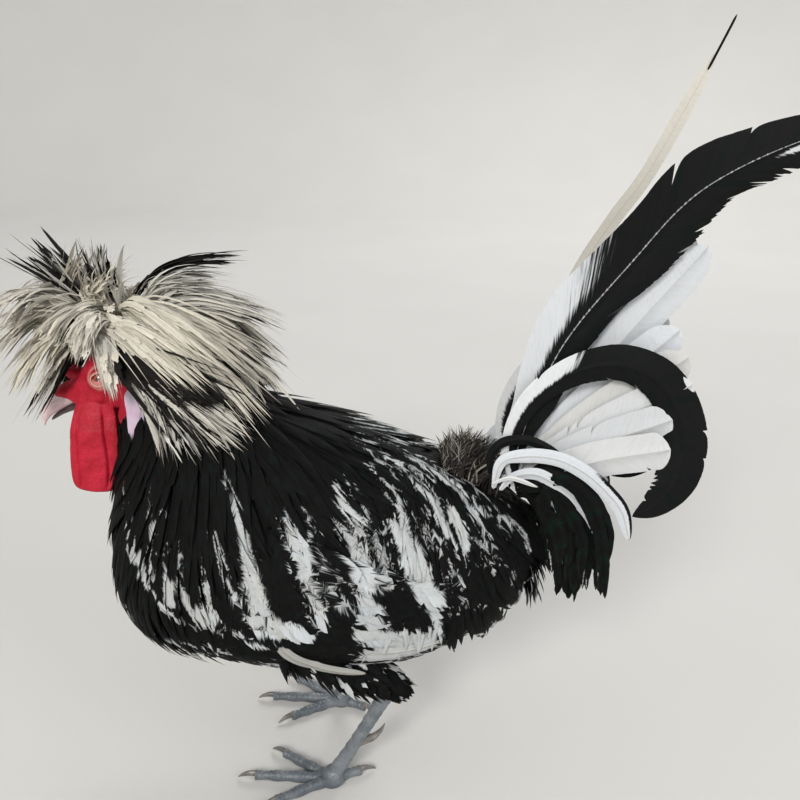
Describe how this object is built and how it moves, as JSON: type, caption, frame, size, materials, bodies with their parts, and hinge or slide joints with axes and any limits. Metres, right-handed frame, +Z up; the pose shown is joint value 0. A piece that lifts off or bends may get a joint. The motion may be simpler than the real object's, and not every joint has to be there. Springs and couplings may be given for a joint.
{
  "type": "polish crested cockerel",
  "caption": "Still life-size model of a mottled Polish crested cockerel standing on both feet, with full crest, long wattles, drooping wings and sickle tail.",
  "frame": {"origin": "on the floor, under the middle of the bird's bounding box", "axes": "+Z up, the bird faces -X, its left side faces -Y"},
  "size_m": [0.5578, 0.1788, 0.526],
  "materials": {
    "body_plumage": "black feathers with white mottling and a slight green gloss",
    "crest_plumage": "cream white loose feathers with black tips",
    "tail_plumage": "white feathers with black sickles",
    "red_skin": "bare red skin, satin",
    "lobe_skin": "bare white skin with a lilac tint",
    "beak_horn": "pale pinkish horn",
    "eye": "wet glossy eye",
    "leg_scale": "slate blue scales"
  },
  "bodies": {
    "root": {"torso": "body_plumage", "neck": "body_plumage", "wing_left": "body_plumage", "wing_right": "body_plumage", "thigh_left": "body_plumage", "thigh_right": "body_plumage", "crest": "crest_plumage", "tail": "tail_plumage", "head": "red_skin", "comb": "red_skin", "wattle_left": "red_skin", "wattle_right": "red_skin", "earlobe_left": "lobe_skin", "earlobe_right": "lobe_skin", "beak_upper": "beak_horn", "beak_lower": "beak_horn", "eye_left": "eye", "eye_right": "eye", "shank_left": "leg_scale", "shank_right": "leg_scale", "foot_left": "leg_scale", "foot_right": "leg_scale"}
  },
  "joints": []
}
